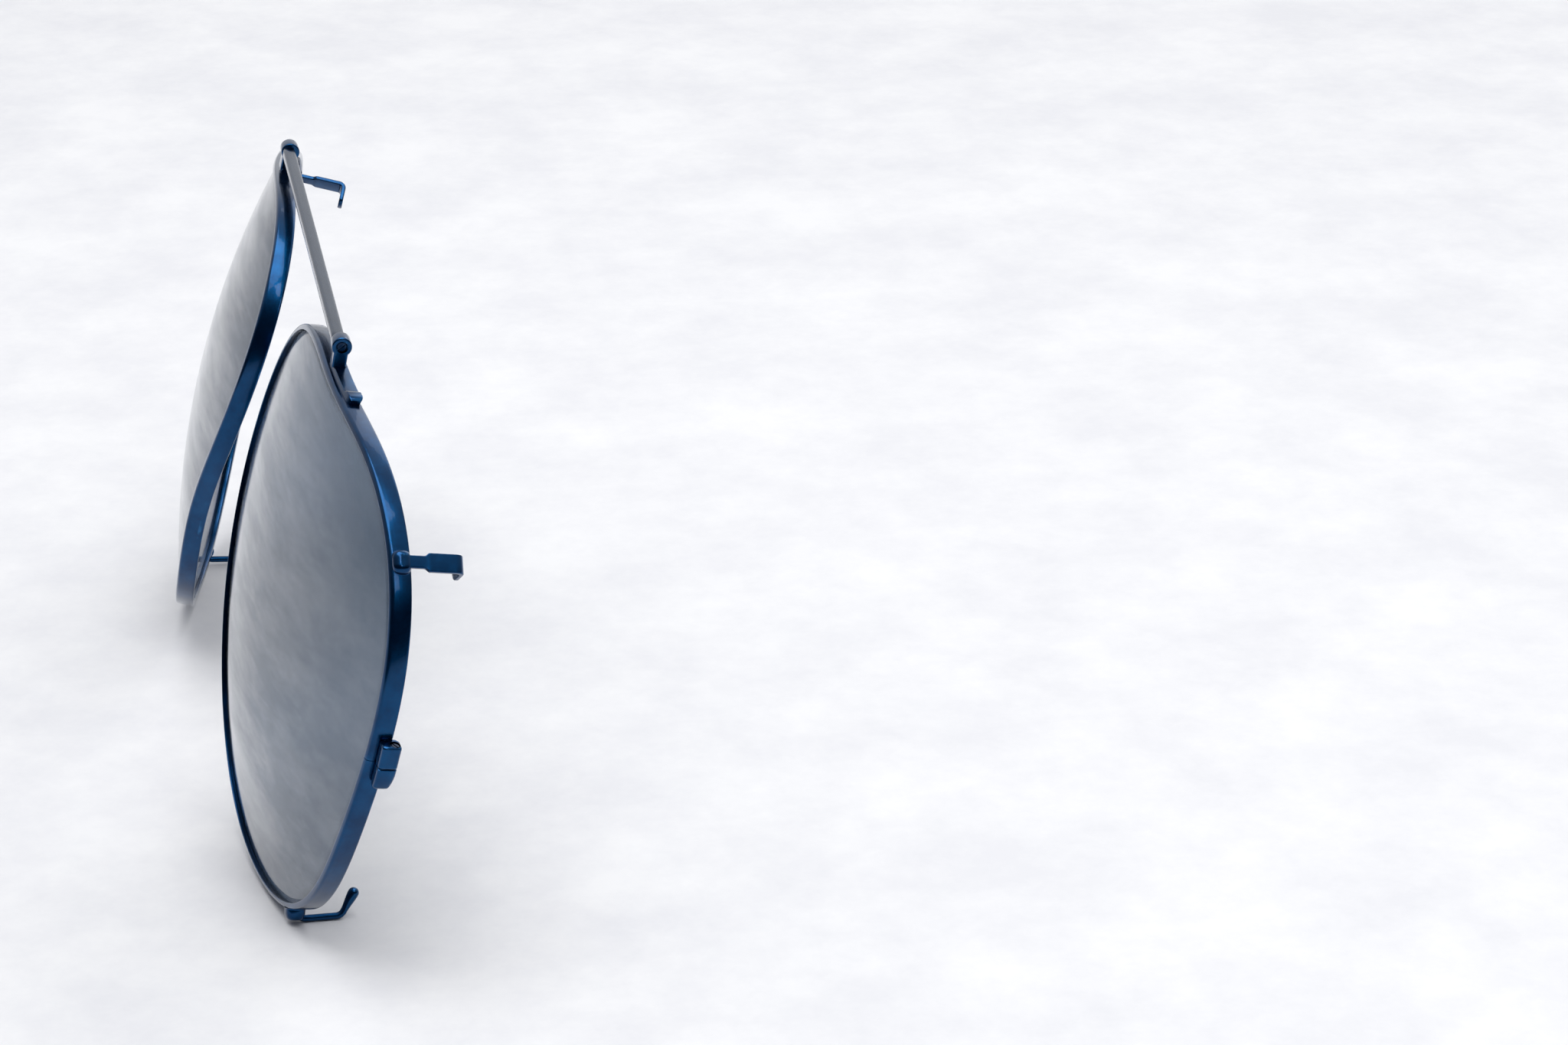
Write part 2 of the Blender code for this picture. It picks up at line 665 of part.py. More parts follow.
def main():
    clear_scene()
    stand = add_empty("clip_stand", None, (0, 0, 0))
    bar_carrier = add_empty("bar_carrier", stand, (0, 0, 0))
    add_brow_bar("brow_bar", bar_carrier)
    for side, prefix in SIDES:
        add_part(prefix + "hinge_screw", pin_solid(side), bar_carrier, SCREW_METAL)
        add_lens_body(side, prefix, stand)
    put_on_table(stand)


main()
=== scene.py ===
"""Clip-on flip lenses: the fine visual model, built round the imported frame.

Every CAD solid is replaced by a finer piece in the same place. Sizes are in millimetres, in the
clip-on's own upright frame: X towards the wearer's left temple, Y backwards, Z up. PLACES takes
them to the frame's metres, for each body. Positions on a lens are (across, up), with a depth
behind its front.
"""

import bisect
import json
import math

import bmesh
import bpy
from mathutils import Matrix, Vector


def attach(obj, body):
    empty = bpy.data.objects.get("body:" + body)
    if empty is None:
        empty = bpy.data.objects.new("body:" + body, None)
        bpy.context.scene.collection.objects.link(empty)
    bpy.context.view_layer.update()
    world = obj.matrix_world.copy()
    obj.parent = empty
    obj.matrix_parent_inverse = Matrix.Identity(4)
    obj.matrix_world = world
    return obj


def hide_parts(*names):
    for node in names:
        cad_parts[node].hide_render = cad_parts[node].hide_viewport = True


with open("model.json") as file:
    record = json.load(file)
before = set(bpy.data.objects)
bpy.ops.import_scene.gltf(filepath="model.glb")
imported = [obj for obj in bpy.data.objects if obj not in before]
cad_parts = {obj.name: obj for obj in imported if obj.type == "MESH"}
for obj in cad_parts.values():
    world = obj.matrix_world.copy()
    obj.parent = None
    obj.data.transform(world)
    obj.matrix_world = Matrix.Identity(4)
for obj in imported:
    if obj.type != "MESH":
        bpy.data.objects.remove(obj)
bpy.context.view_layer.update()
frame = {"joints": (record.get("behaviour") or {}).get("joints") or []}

MM = 0.001

# Overall sizes, as in the solids
LENS_WIDTH = 55.4
LENS_HEIGHT = 51.3
LENS_GAP = 11.7
BASE_RADIUS = 88.0
FACE_WRAP = math.radians(8.8)
LEAN_BACK = math.radians(11.1)

# The aviator shape: radii every 30 degrees, from the temple side over the top
SHAPE_RADII = (27.5, 28.5, 25.8, 24.3, 28.2, 30.2, 24.7, 22.1, 23.5, 24.6, 26.4, 26.5)
SHAPE_ORDERS = 5
OUTLINE_STEPS = 1440
NORMAL_PROBES = 720

# Rim and lens
RIM_DEPTH = 1.95
RIM_WALL = 0.62
RIM_CROWN = 0.05
RIM_OUTER_ROUND = 0.22
RIM_INNER_ROUND = 0.12
RIM_STATIONS = 480
RIM_OUTER_FACES = 6
RIM_FLAT_ROUND = 0.01
GROOVE_DEPTH = 0.30
GROOVE_PLAY = 0.02
LENS_THICKNESS = 1.00
LENS_EDGE_ROUND = 0.14
LENS_STATIONS = 240
LENS_RINGS = 22

# Round pieces are this much slimmer than the solids, to stay inside their facets
FACET_ROOM = 0.012

# Solder sinks each attached piece this far into what it stands on
SINK = 0.06

# The gap that the solids leave in each seam
SEAM = 0.10

# Flip hinge and bar
KNUCKLE_ANGLE = math.radians(97)
KNUCKLE_LENGTH = 1.8
KNUCKLE_RADIUS = 0.97
KNUCKLE_POST_WIDTH = 1.35
KNUCKLE_POST_HEIGHT = 1.08
KNUCKLE_SINK = 0.20
KNUCKLE_ROUND = 0.16
KNUCKLE_STEPS = 40
LEAF_THICKNESS = 0.35
LEAF_WIDTH = 1.40
LEAF_INSET = 0.15
LEAF_REACH = 7.85
LEAF_ROUND = 0.11
LEAF_STUD_LENGTH = 1.9
LEAF_STUD_HEIGHT = 0.22
LEAF_STUD_RAMP = 0.6
LEAF_TIP_LENGTH = 0.8
LEAF_TIP_LEAST = 0.04
LEAF_TIP_HEIGHT = 0.45
LEAF_TIP_DRAW_IN = 0.25
LEAF_STATIONS = 60
PIN_AHEAD = 0.90
PIN_RADIUS = 0.30
PIN_GRIP = 2.2
PIN_HEAD_RADIUS = 0.52
PIN_HEAD_HEIGHT = 0.32
PIN_HEAD_RECESS = 0.20
HINGE_END_PLAY = 0.15
BAR_DEPTH = 1.30
BAR_HEIGHT = 1.00
BAR_ROUND = 0.38
BAR_FORWARD = 0.20
BAR_END_ROUND = 0.12
BAR_STATIONS = 60
SCREW_PLAY = 0.05

# Closing block
CLOSING_ANGLE = math.radians(-2.2)
CLOSING_LENGTH = 4.8
CLOSING_THICKNESS = 1.25
CLOSING_AHEAD = 1.20
CLOSING_BEHIND = 0.65
CLOSING_ROUND = 0.42
CLOSING_SLOPE = 2.1
CLOSING_SLOPE_DROP = 0.30
CLOSING_SPLIT_ROUND = 0.12
CLOSING_SPLIT_INSET = 0.08
CLOSING_END_ROUND = 0.25
CLOSING_END_INSET = 0.22
CLOSING_STEPS = 28
CLOSING_GAP = 0.07
CLOSING_SCREW_RADIUS = 0.30
CLOSING_HEAD_RADIUS = 0.45
CLOSING_HEAD_HEIGHT = 0.30
CLOSING_SCREW_BEHIND = 0.05

# Screws: shares are of the head's or shank's own size
TURNED_SIDES = 48
THREAD_PITCH = 0.22
THREAD_DEPTH_SHARE = 0.16
THREAD_SIDES = 24
THREAD_STEPS_PER_TURN = 8
HEAD_EDGE_HEIGHT_SHARE = 0.5
HEAD_EDGE_RADIUS_SHARE = 0.35
HEAD_TOP_SHARE = 0.3
HEAD_UNDER_ROUND = 0.04
SHANK_OVERLAP = 0.05
SLOT_HALF_SHARE = 0.16
SLOT_DEPTH_SHARE = 0.5
SLOT_REACH_SHARE = 1.5

# Hooks
UPPER_HOOK_ANGLE = math.radians(35)
UPPER_ROOT_LENGTH = 2.3
UPPER_ROOT_HEIGHT = 0.60
UPPER_ROOT_CROWN = 0.70
TAB_THICKNESS = 0.45
TAB_NECK_WIDTH = 1.2
TAB_NECK_LENGTH = 1.1
TAB_WIDTH = 1.8
TAB_REACH = 4.9
TAB_LIP = 2.2
TAB_BEND_RADIUS = 0.35
TAB_ROUND = 0.13
TAB_ROOT_OVERLAP = 0.7
TAB_SHOULDER = 0.45
TAB_LIP_CORNER = 0.55
TAB_STEPS = 30
TAB_BEND_STEPS = 12
TAB_LIP_STEPS = 16
LOWER_HOOK_ANGLE = math.radians(-64)
LOWER_ROOT_LENGTH = 2.0
LOWER_ROOT_HEIGHT = 1.00
LOWER_ROOT_CROWN = 0.45
WIRE_RADIUS = 0.35
WIRE_DROP = 0.18
WIRE_RUN = 2.9
WIRE_BEND_RADIUS = 0.9
WIRE_BEND = math.radians(58)
WIRE_RISE = 1.4
WIRE_TIP_RADIUS = 0.55
WIRE_ROOT_OVERLAP = 0.8
WIRE_ROOT_DIP = 0.3
WIRE_ROOT_STEPS = 8
WIRE_BEND_STEPS = 20
WIRE_FLARE_STEPS = 10
WIRE_TIP_STEPS = 14
WIRE_SIDES = 32
WIRE_LEAST_RADIUS = 0.01
PAD_STEPS = 18
PAD_FOOT_FLARE = 0.06
PAD_SWELL = 0.9
PAD_ROUND_SHARE = 0.95
PAD_CORNER_STEPS = 8

# Edges sharper than this stay crisp when shaded, in degrees; the pads stay smooth
SHARP_ANGLE = 40
PAD_SHARP_ANGLE = 80

# Metals: noise scales in cells per metre, relief in metres
MOTTLE_SCALE = 420
MOTTLE_RANGE = (0.32, 0.68)
STREAK_SCALE = 2600
STREAK_DETAIL = 3
METAL_NOISE_ROUGHNESS = 0.6
METAL_RELIEF = 2e-6
METAL_RELIEF_STRENGTH = 0.35
RUBBED_EDGE_RANGE = (0.53, 0.62)
RUBBED_NOISE_SCALE = 900
RUBBED_MOST = 0.9
LACQUER_ROUGHNESS = 0.04
LACQUER_IOR = 1.22

# Tinted lens
TINT_SCALE = 60
TINT_RANGE = (0.3, 0.7)
TINT_DEEP = (0.110, 0.148, 0.200, 1)
TINT_PALE = (0.130, 0.168, 0.225, 1)
SMEAR_SCALE = 230
SMEAR_DETAIL = 8
SMEAR_NOISE_ROUGHNESS = 0.70
SMEAR_STRETCH = (0.16, 1.0, 1.0)
SMEAR_TURN = math.radians(14)
SMEAR_ROUGHNESS = (0.02, 0.20)
SMEAR_RELIEF = 3e-6
SMEAR_RELIEF_STRENGTH = 0.25
FILM_RANGE = (0.40, 0.66)
FILM_MOST = (0.75, 0.75, 0.75, 1)
FILM_IOR = 1.38
FILM_ROUGHNESS = 0.12
LENS_IOR = 1.46

# Table
FLOOR_HALF_SIZE = 3.0
FLOOR_MOTTLE_SCALE = 55
FLOOR_MOTTLE_DETAIL = 8
FLOOR_MOTTLE_ROUGHNESS = 0.68
FLOOR_GREYER = (0.775, 0.775, 0.80, 1)
FLOOR_PALER = (0.86, 0.858, 0.868, 1)
FLOOR_MOTTLE_RANGE = (0.36, 0.64)
FLOOR_GLOSS_SCALE = 90
FLOOR_GLOSS_DETAIL = 3
FLOOR_ROUGHNESS = (0.70, 0.90)
FLOOR_SPECULAR = 0.15

# Surroundings: the way that looks brightest, and the colours from dark to bright
WORLD_FACING = (-0.45, 0.10, 0.60)
WORLD_SPREAD = (0.3, 1.0)
WORLD_COLOURS = [
    (0.0, (0.01, 0.02, 0.04, 1)),
    (0.33, (0.05, 0.06, 0.08, 1)),
    (0.52, (0.48, 0.49, 0.51, 1)),
    (0.75, (0.74, 0.75, 0.77, 1)),
    (1.0, (0.66, 0.67, 0.69, 1)),
]

# Soft lights, in metres and watts: name, place, target, size, power
LIGHTS = [
    ("overhead", (0.04, -0.02, 0.78), (0.02, 0, 0), 0.6, 3.85),
    ("key_small", (0.36, 0.15, 0.62), (0, 0, 0.03), 0.14, 0.40),
    ("key_side", (0.45, 0.23, 0.45), (0, 0, 0.03), 0.12, 0.16),
    ("back_soft", (-0.55, 0.45, 0.45), (0, 0, 0.02), 0.5, 0.8),
]

# Camera, in metres
CAMERA_AT = Vector((0.4507, -0.0296, 0.2097))
CAMERA_AZIMUTH = math.radians(79.9)
CAMERA_ELEVATION = math.radians(22.6)
CAMERA_LENS = 109.6
CAMERA_CLIP_START = 0.01

SIDES = ((1, "left_"), (-1, "right_"))

# How far each lens rests swung forward on its hinge
REST_SWING = {1: 0.0, -1: math.radians(3.2)}


# Outline of the rims

def shape_radius(angle):
    """The curve through SHAPE_RADII, as a short Fourier series."""
    count = len(SHAPE_RADII)
    radius = sum(SHAPE_RADII) / count
    for order in range(1, SHAPE_ORDERS + 1):
        for step, traced in enumerate(SHAPE_RADII):
            radius += 2 / count * traced * math.cos(order * (angle - math.tau * step / count))
    return radius


def make_outline():
    """Outer edge of a rim as (across, up), in a box of the lens's width and height."""
    angles = [math.tau * step / OUTLINE_STEPS for step in range(OUTLINE_STEPS)]
    across = [shape_radius(angle) * math.cos(angle) for angle in angles]
    up = [shape_radius(angle) * math.sin(angle) for angle in angles]
    wide = LENS_WIDTH / (max(across) - min(across))
    high = LENS_HEIGHT / (max(up) - min(up))
    middle_x = (max(across) + min(across)) / 2
    middle_z = (max(up) + min(up)) / 2
    return [Vector((wide * (x - middle_x), high * (z - middle_z))) for x, z in zip(across, up)]


OUTLINE = make_outline()


def make_lengths():
    """Distance along the outline from its first point to each point, and all round."""
    lengths = [0.0]
    for here, there in zip(OUTLINE, OUTLINE[1:] + OUTLINE[:1]):
        lengths.append(lengths[-1] + (there - here).length)
    return lengths


LENGTHS = make_lengths()
NASAL_REACH = -min(point.x for point in OUTLINE)


def length_at(angle):
    """Distance along the outline to an angle of the shape."""
    return LENGTHS[round(angle / math.tau * OUTLINE_STEPS) % OUTLINE_STEPS]


def outline_at(length):
    """Point on the outline at a distance along it."""
    length %= LENGTHS[-1]
    step = min(bisect.bisect_right(LENGTHS, length), OUTLINE_STEPS) - 1
    share = (length - LENGTHS[step]) / (LENGTHS[step + 1] - LENGTHS[step])
    return OUTLINE[step].lerp(OUTLINE[(step + 1) % OUTLINE_STEPS], share)


def outward_at(length):
    """Unit normal of the outline, pointing out of the lens."""
    probe = LENGTHS[-1] / NORMAL_PROBES
    along = outline_at(length + probe) - outline_at(length - probe)
    return Vector((along.y, -along.x)).normalized()


def dome(across, up):
    """How far the spherical lens surface has fallen back from its middle."""
    return BASE_RADIUS - math.sqrt(BASE_RADIUS**2 - across**2 - up**2)


def from_lens(side, across, depth, up):
    """Clip position of a point in lens coordinates; side is 1 for the left lens, -1 for right."""
    x = LENS_GAP / 2 + NASAL_REACH + across * math.cos(FACE_WRAP) - depth * math.sin(FACE_WRAP)
    y = across * math.sin(FACE_WRAP) + depth * math.cos(FACE_WRAP)
    return Vector((side * x, y, up))


def on_dome(side, point, depth):
    """Clip position at a depth behind the domed lens surface."""
    return from_lens(side, point.x, depth + dome(point.x, point.y), point.y)


class Seat:
    """A straight-edged frame on the rim's outer face, for the pieces that are soldered to it.

    Positions in it are (along the rim, outwards from its outer face, depth from its front)."""

    def __init__(self, side, angle):
        self.side = side
        self.length = length_at(angle)
        self.base = outline_at(self.length)
        self.outward = outward_at(self.length)
        self.along = Vector((-self.outward.y, self.outward.x))
        self.fall = dome(self.base.x, self.base.y)

    def at(self, along, outwards, depth):
        """Clip position of a point in the seat's frame."""
        point = self.base + self.along * along + self.outward * outwards
        return from_lens(self.side, point.x, self.fall + depth, point.y)

    def along_direction(self):
        """Unit vector along the rim, in the clip's frame."""
        return (self.at(1, 0, 0) - self.at(0, 0, 0)).normalized()

    def out_direction(self):
        """Unit vector out of the rim, in the clip's frame."""
        return (self.at(0, 1, 0) - self.at(0, 0, 0)).normalized()


def hinge_centre(side):
    """Middle of a knuckle's bore."""
    rise = SEAM + LEAF_THICKNESS - KNUCKLE_SINK + KNUCKLE_POST_HEIGHT + KNUCKLE_RADIUS
    return Seat(side, KNUCKLE_ANGLE).at(0, rise, RIM_DEPTH - PIN_AHEAD)


def find_place():
    """From the clip's millimetres to the frame's metres, by the left hinge's place in it."""
    lean = Matrix.Rotation(-LEAN_BACK, 4, "X") @ Matrix.Scale(MM, 4)
    hinge = [joint for joint in frame["joints"] if joint["name"] == "left_flip"][0]
    return Matrix.Translation(Vector(hinge["pos_m"]) - lean @ hinge_centre(1)) @ lean


def swung(side):
    """Where the lens body on one side goes: PLACE after the swing it rests at."""
    centre = Matrix.Translation(hinge_centre(side))
    return PLACE @ centre @ Matrix.Rotation(-REST_SWING[side], 4, "X") @ centre.inverted()


PLACE = find_place()
PLACES = {"bar_body": PLACE, "left_lens_body": swung(1), "right_lens_body": swung(-1)}


# Shapes

def softened(corners, radii, steps=4):
    """A closed outline with its corners rounded, each by its own radius."""
    points = []
    for i, corner in enumerate(corners):
        before = Vector(corners[i - 1])
        after = Vector(corners[(i + 1) % len(corners)])
        here = Vector(corner)
        start = here + (before - here).normalized() * radii[i]
        end = here + (after - here).normalized() * radii[i]
        for step in range(steps + 1):
            t = step / steps
            points.append((1 - t) ** 2 * start + 2 * t * (1 - t) * here + t * t * end)
    return points


def rounded_box(low_a, high_a, low_b, high_b, radius, steps=5):
    """A rectangle with round corners, as points in order."""
    corners = [(low_a, low_b), (high_a, low_b), (high_a, high_b), (low_a, high_b)]
    return softened(corners, [radius] * 4, steps)


def loft(rings):
    """A solid through rings of points, capped at both ends."""
    shape = bmesh.new()
    loops = [[shape.verts.new(point) for point in ring] for ring in rings]
    for front, back in zip(loops, loops[1:]):
        for i, corner in enumerate(front):
            j = (i + 1) % len(front)
            shape.faces.new((corner, front[j], back[j], back[i]))
    shape.faces.new(loops[0][::-1])
    shape.faces.new(loops[-1])
    bmesh.ops.recalc_face_normals(shape, faces=shape.faces)
    return shape


def ring_round(centre, first, second, radius, sides):
    """Points of a circle in the plane of two unit vectors."""
    turns = [math.tau * i / sides for i in range(sides)]
    return [centre + (first * math.cos(t) + second * math.sin(t)) * radius for t in turns]


def turned(start, direction, profile):
    """A turned solid: profile is a list of (distance along the axis, radius)."""
    first = direction.orthogonal().normalized()
    second = direction.cross(first)
    return loft([
        ring_round(start + direction * distance, first, second, radius, TURNED_SIDES)
        for distance, radius in profile
    ])


def quarter(start, radius, width, steps=5, falling=True):
    """Points of a rounded edge on a turned profile: (distance, radius) over a quarter circle."""
    turns = [math.pi / 2 * step / steps for step in range(steps + 1)]
    if falling:
        return [(start + width * math.sin(t), radius - width * (1 - math.cos(t))) for t in turns]
    return [(start + width * (1 - math.cos(t)), radius - width * (1 - math.sin(t))) for t in turns]


def as_object(name, shape):
    """A linked object made from a bmesh, which is used up."""
    mesh = bpy.data.meshes.new(name)
    shape.to_mesh(mesh)
    shape.free()
    thing = bpy.data.objects.new(name, mesh)
    bpy.context.collection.objects.link(thing)
    return thing


def shaped(shape, joined=(), cut=()):
    """A bmesh after unions and cuts, worked at millimetre scale."""
    body = as_object("work", shape)
    tools = []
    for operation, shapes in (("UNION", joined), ("DIFFERENCE", cut)):
        for tool_shape in shapes:
            tool = as_object("tool", tool_shape)
            modifier = body.modifiers.new("boolean", "BOOLEAN")
            modifier.operation = operation
            modifier.object = tool
            tools.append(tool)
    bpy.context.view_layer.update()
    evaluated = body.evaluated_get(bpy.context.evaluated_depsgraph_get())
    result = bmesh.new()
    result.from_mesh(evaluated.to_mesh())
    for thing in [body] + tools:
        mesh = thing.data
        bpy.data.objects.remove(thing, do_unlink=True)
        bpy.data.meshes.remove(mesh)
    return result


def add_piece(node, shape, body, material, sharp=SHARP_ANGLE):
    """Put a finished shape in place of a CAD node."""
    piece = as_object(node + "_fine", shape)
    piece.data.transform(PLACES[body])
    piece.data.shade_smooth()
    piece.data.set_sharp_from_angle(angle=math.radians(sharp))
    piece.data.materials.append(material)
    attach(piece, body)
    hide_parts(node)
    return piece


# Materials

def new_material(name):
    """An empty Principled material: the material, its node tree and its shader."""
    material = bpy.data.materials.new(name)
    material.use_nodes = True
    tree = material.node_tree
    return material, tree, tree.nodes["Principled BSDF"]


def noise(tree, scale, detail=3.0, roughness=0.5, stretch=(1, 1, 1), turn=0.0):
    """A noise texture over the object's own coordinates, with a scale in cells per metre."""
    coordinates = tree.nodes.new("ShaderNodeTexCoord")
    mapping = tree.nodes.new("ShaderNodeMapping")
    mapping.inputs["Scale"].default_value = stretch
    mapping.inputs["Rotation"].default_value = (0, turn, 0)
    texture = tree.nodes.new("ShaderNodeTexNoise")
    texture.inputs["Scale"].default_value = scale
    texture.inputs["Detail"].default_value = detail
    texture.inputs["Roughness"].default_value = roughness
    tree.links.new(coordinates.outputs["Object"], mapping.inputs["Vector"])
    tree.links.new(mapping.outputs["Vector"], texture.inputs["Vector"])
    return texture.outputs["Fac"]


def ramp(tree, factor, stops):
    """A colour ramp over a factor: stops are (position, colour)."""
    node = tree.nodes.new("ShaderNodeValToRGB")
    elements = node.color_ramp.elements
    elements[0].position, elements[0].color = stops[0]
    elements[1].position, elements[1].color = stops[-1]
    for position, colour in stops[1:-1]:
        elements.new(position).color = colour
    tree.links.new(factor, node.inputs["Fac"])
    return node.outputs["Color"]


def spread(tree, factor, low, high):
    """A factor from 0 to 1 taken to a range."""
    node = tree.nodes.new("ShaderNodeMapRange")
    node.inputs["To Min"].default_value = low
    node.inputs["To Max"].default_value = high
    tree.links.new(factor, node.inputs["Value"])
    return node.outputs["Result"]


def mixed(tree, factor, first, second):
    """Two colours mixed by a factor."""
    node = tree.nodes.new("ShaderNodeMix")
    node.data_type = "RGBA"
    tree.links.new(factor, node.inputs[0])
    tree.links.new(first, node.inputs[6])
    node.inputs[7].default_value = second
    return node.outputs[2]


def bumped(tree, shader, height, distance, strength):
    """Relief on the shader's normal, of a height in metres."""
    node = tree.nodes.new("ShaderNodeBump")
    node.inputs["Distance"].default_value = distance
    node.inputs["Strength"].default_value = strength
    tree.links.new(height, node.inputs["Height"])
    tree.links.new(node.outputs["Normal"], shader.inputs["Normal"])


def coated_metal(name, deep, bright, edge, roughness, stretch):
    """Lacquered metal: mottled colour, drawn streaks, edges where the colour is rubbed thin."""
    material, tree, shader = new_material(name)
    mottle = noise(tree, MOTTLE_SCALE, 4, METAL_NOISE_ROUGHNESS)
    colour = ramp(tree, mottle, list(zip(MOTTLE_RANGE, (deep, bright))))
    geometry = tree.nodes.new("ShaderNodeNewGeometry")
    rubbed = tree.nodes.new("ShaderNodeMapRange")
    rubbed.inputs["From Min"].default_value = RUBBED_EDGE_RANGE[0]
    rubbed.inputs["From Max"].default_value = RUBBED_EDGE_RANGE[1]
    tree.links.new(geometry.outputs["Pointiness"], rubbed.inputs["Value"])
    worn = tree.nodes.new("ShaderNodeMath")
    worn.operation = "MULTIPLY"
    tree.links.new(rubbed.outputs["Result"], worn.inputs[0])
    patches = noise(tree, RUBBED_NOISE_SCALE, 2)
    tree.links.new(spread(tree, patches, 0.0, RUBBED_MOST), worn.inputs[1])
    tree.links.new(mixed(tree, worn.outputs[0], colour, edge), shader.inputs["Base Color"])
    streaks = noise(tree, STREAK_SCALE, STREAK_DETAIL, METAL_NOISE_ROUGHNESS, stretch)
    tree.links.new(spread(tree, streaks, *roughness), shader.inputs["Roughness"])
    bumped(tree, shader, streaks, METAL_RELIEF, METAL_RELIEF_STRENGTH)
    shader.inputs["Metallic"].default_value = 1.0
    shader.inputs["Coat Weight"].default_value = 1.0
    shader.inputs["Coat Roughness"].default_value = LACQUER_ROUGHNESS
    shader.inputs["Coat IOR"].default_value = LACQUER_IOR
    return material


def smoke_lens(name):
    """Grey tinted lens: clear gloss under a thin film of wiping marks that shows in reflections."""
    material, tree, shader = new_material(name)
    mottle = noise(tree, TINT_SCALE, 2)
    tint = ramp(tree, mottle, list(zip(TINT_RANGE, (TINT_DEEP, TINT_PALE))))
    tree.links.new(tint, shader.inputs["Base Color"])
    smears = noise(
        tree, SMEAR_SCALE, SMEAR_DETAIL, SMEAR_NOISE_ROUGHNESS, SMEAR_STRETCH, SMEAR_TURN,
    )
    tree.links.new(spread(tree, smears, *SMEAR_ROUGHNESS), shader.inputs["Roughness"])
    film = ramp(tree, smears, [(FILM_RANGE[0], (0, 0, 0, 1)), (FILM_RANGE[1], FILM_MOST)])
    tree.links.new(film, shader.inputs["Coat Weight"])
    shader.inputs["Coat IOR"].default_value = FILM_IOR
    shader.inputs["Coat Roughness"].default_value = FILM_ROUGHNESS
    bumped(tree, shader, smears, SMEAR_RELIEF, SMEAR_RELIEF_STRENGTH)
    shader.inputs["Transmission Weight"].default_value = 1.0
    shader.inputs["IOR"].default_value = LENS_IOR
    return material


BLUE_METAL = coated_metal(
    "blue_anodised",
    deep=(0.001, 0.030, 0.095, 1), bright=(0.002, 0.052, 0.150, 1), edge=(0.02, 0.14, 0.34, 1),
    roughness=(0.16, 0.30), stretch=(1, 1, 1),
)
BAR_METAL = coated_metal(
    "blue_anodised_drawn",
    deep=(0.010, 0.030, 0.066, 1), bright=(0.018, 0.044, 0.092, 1), edge=(0.06, 0.12, 0.22, 1),
    roughness=(0.18, 0.36), stretch=(0.05, 1, 1),
)
SCREW_METAL = coated_metal(
    "dark_blue_screw",
    deep=(0.001, 0.010, 0.035, 1), bright=(0.003, 0.022, 0.065, 1), edge=(0.05, 0.10, 0.18, 1),
    roughness=(0.22, 0.42), stretch=(1, 1, 1),
)
LENS = smoke_lens("smoke_lens")


# Rim and lens

def rim_section():
    """The rim's ribbon as (outwards, depth): a crowned outer face and a groove for the lens."""
    groove_low = (RIM_DEPTH - LENS_THICKNESS) / 2 - GROOVE_PLAY
    groove_high = RIM_DEPTH - groove_low
    floor = -RIM_WALL + GROOVE_DEPTH
    faces = RIM_OUTER_FACES
    outer = [(0.0, RIM_DEPTH * i / faces) for i in range(faces + 1)]
    corners = outer + [
        (-RIM_WALL, RIM_DEPTH), (-RIM_WALL, groove_high), (floor, groove_high),
        (floor, groove_low), (-RIM_WALL, groove_low), (-RIM_WALL, 0.0),
    ]
    flat = RIM_FLAT_ROUND
    radii = [RIM_OUTER_ROUND] + [flat] * (faces - 1) + [RIM_OUTER_ROUND]
    radii += [RIM_INNER_ROUND, flat, flat, flat, flat, RIM_INNER_ROUND]
    section = []
    for point in softened(corners, radii):
        out, depth = point
        if out > floor:
            out -= RIM_CROWN * (2 * depth / RIM_DEPTH - 1) ** 2
        section.append((out, FACET_ROOM / 2 + depth * (1 - FACET_ROOM / RIM_DEPTH)))
    return section


def add_rim(side, prefix, body):
    """The ribbon round the lens, open at the closing block."""
    section = rim_section()
    start = length_at(CLOSING_ANGLE) + CLOSING_GAP / 2
    span = LENGTHS[-1] - CLOSING_GAP
    rings = []
    for station in range(RIM_STATIONS + 1):
        length = start + span * station / RIM_STATIONS
        point = outline_at(length)
        outward = outward_at(length)
        rings.append([on_dome(side, point + outward * out, depth) for out, depth in section])
    add_piece(prefix + "rim", loft(rings), body, BLUE_METAL)


def add_lens(side, prefix, body):
    """The domed lens, its edge standing in the rim's groove."""
    edge = -RIM_WALL + GROOVE_DEPTH - GROOVE_PLAY
    front = (RIM_DEPTH - LENS_THICKNESS) / 2
    back = front + LENS_THICKNESS
    inner = edge - LENS_EDGE_ROUND
    shares = [(ring + 1) / LENS_RINGS for ring in range(LENS_RINGS)]
    loops = [(share, inner, front) for share in shares]
    loops += [(1.0, edge, front + LENS_EDGE_ROUND), (1.0, edge, back - LENS_EDGE_ROUND)]
    loops += [(share, inner, back) for share in reversed(shares)]
    shape = bmesh.new()
    rings = []
    for share, offset, depth in loops:
        ring = []
        for station in range(LENS_STATIONS):
            length = LENGTHS[-1] * station / LENS_STATIONS
            point = outline_at(length) + outward_at(length) * offset
            ring.append(shape.verts.new(on_dome(side, point * share, depth)))
        rings.append(ring)
    for first, second in zip(rings, rings[1:]):
        for i, corner in enumerate(first):
            j = (i + 1) % LENS_STATIONS
            shape.faces.new((corner, first[j], second[j], second[i]))
    for ring, depth in ((rings[0], front), (rings[-1], back)):
        centre = shape.verts.new(on_dome(side, Vector((0.0, 0.0)), depth))
        for i, corner in enumerate(ring):
            shape.faces.new((corner, ring[(i + 1) % LENS_STATIONS], centre))
    bmesh.ops.recalc_face_normals(shape, faces=shape.faces)
    add_piece(prefix + "lens", shape, body, LENS)


# Screws

